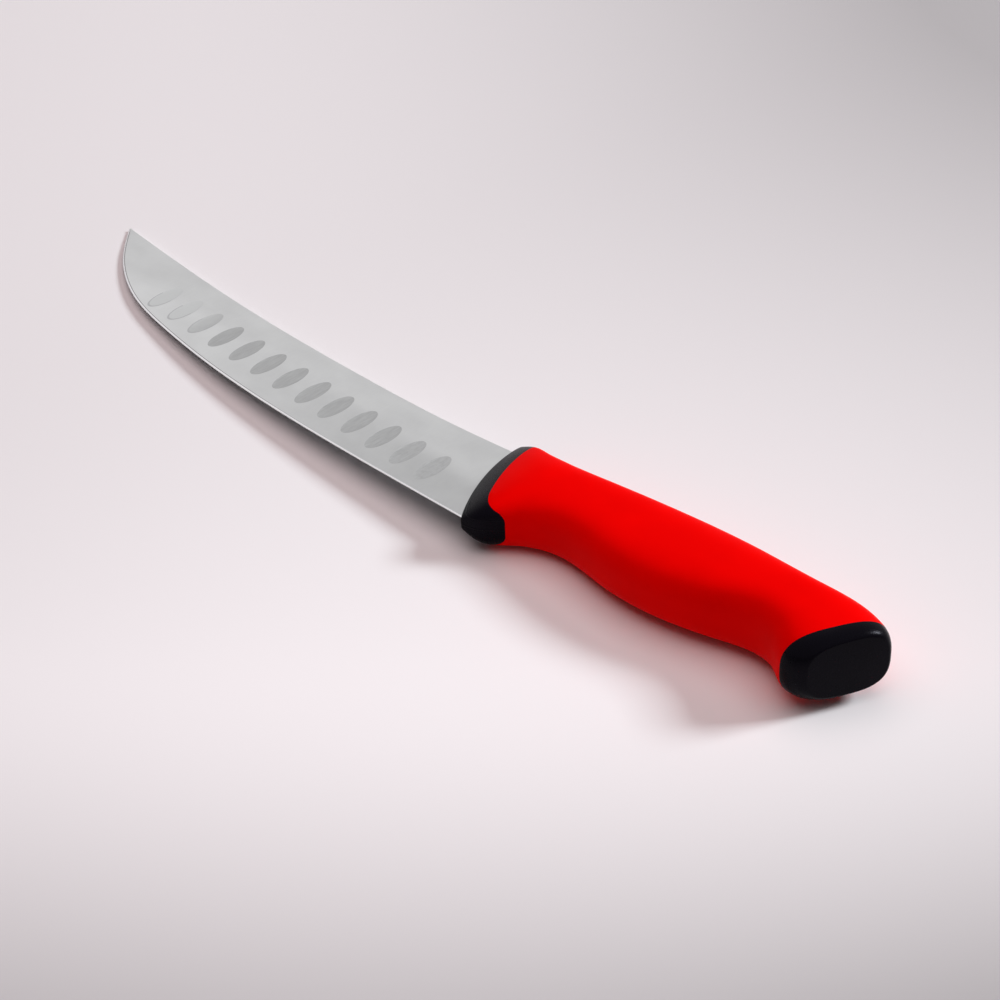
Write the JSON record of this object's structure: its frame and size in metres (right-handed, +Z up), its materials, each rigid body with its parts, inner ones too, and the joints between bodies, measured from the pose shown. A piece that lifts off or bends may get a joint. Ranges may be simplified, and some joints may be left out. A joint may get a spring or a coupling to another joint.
{
  "type": "butcher's steak knife",
  "caption": "Long curved butcher's steak knife with a hollow-oval steel blade and a moulded handle: a soft sleeve over a hard core with finger guard and butt cap.",
  "frame": {"origin": "centre of the part's box in X and Y, on the surface that the knife lies on", "axes": "+X from the tip to the butt, +Y from the cutting edge towards the spine, +Z up; the knife lies on its side, on its tip and the handle"},
  "size_m": [0.3426, 0.0496, 0.0252],
  "materials": {
    "satin_steel": "satin, finely ground across the blade",
    "black_plastic": "fine matt moulding, slightly polished at the butt's rim",
    "red_soft_plastic": "matt soft-touch moulding"
  },
  "bodies": {
    "root": {"blade": "satin_steel", "handle_core": "black_plastic", "soft_grip": "red_soft_plastic"}
  },
  "joints": []
}
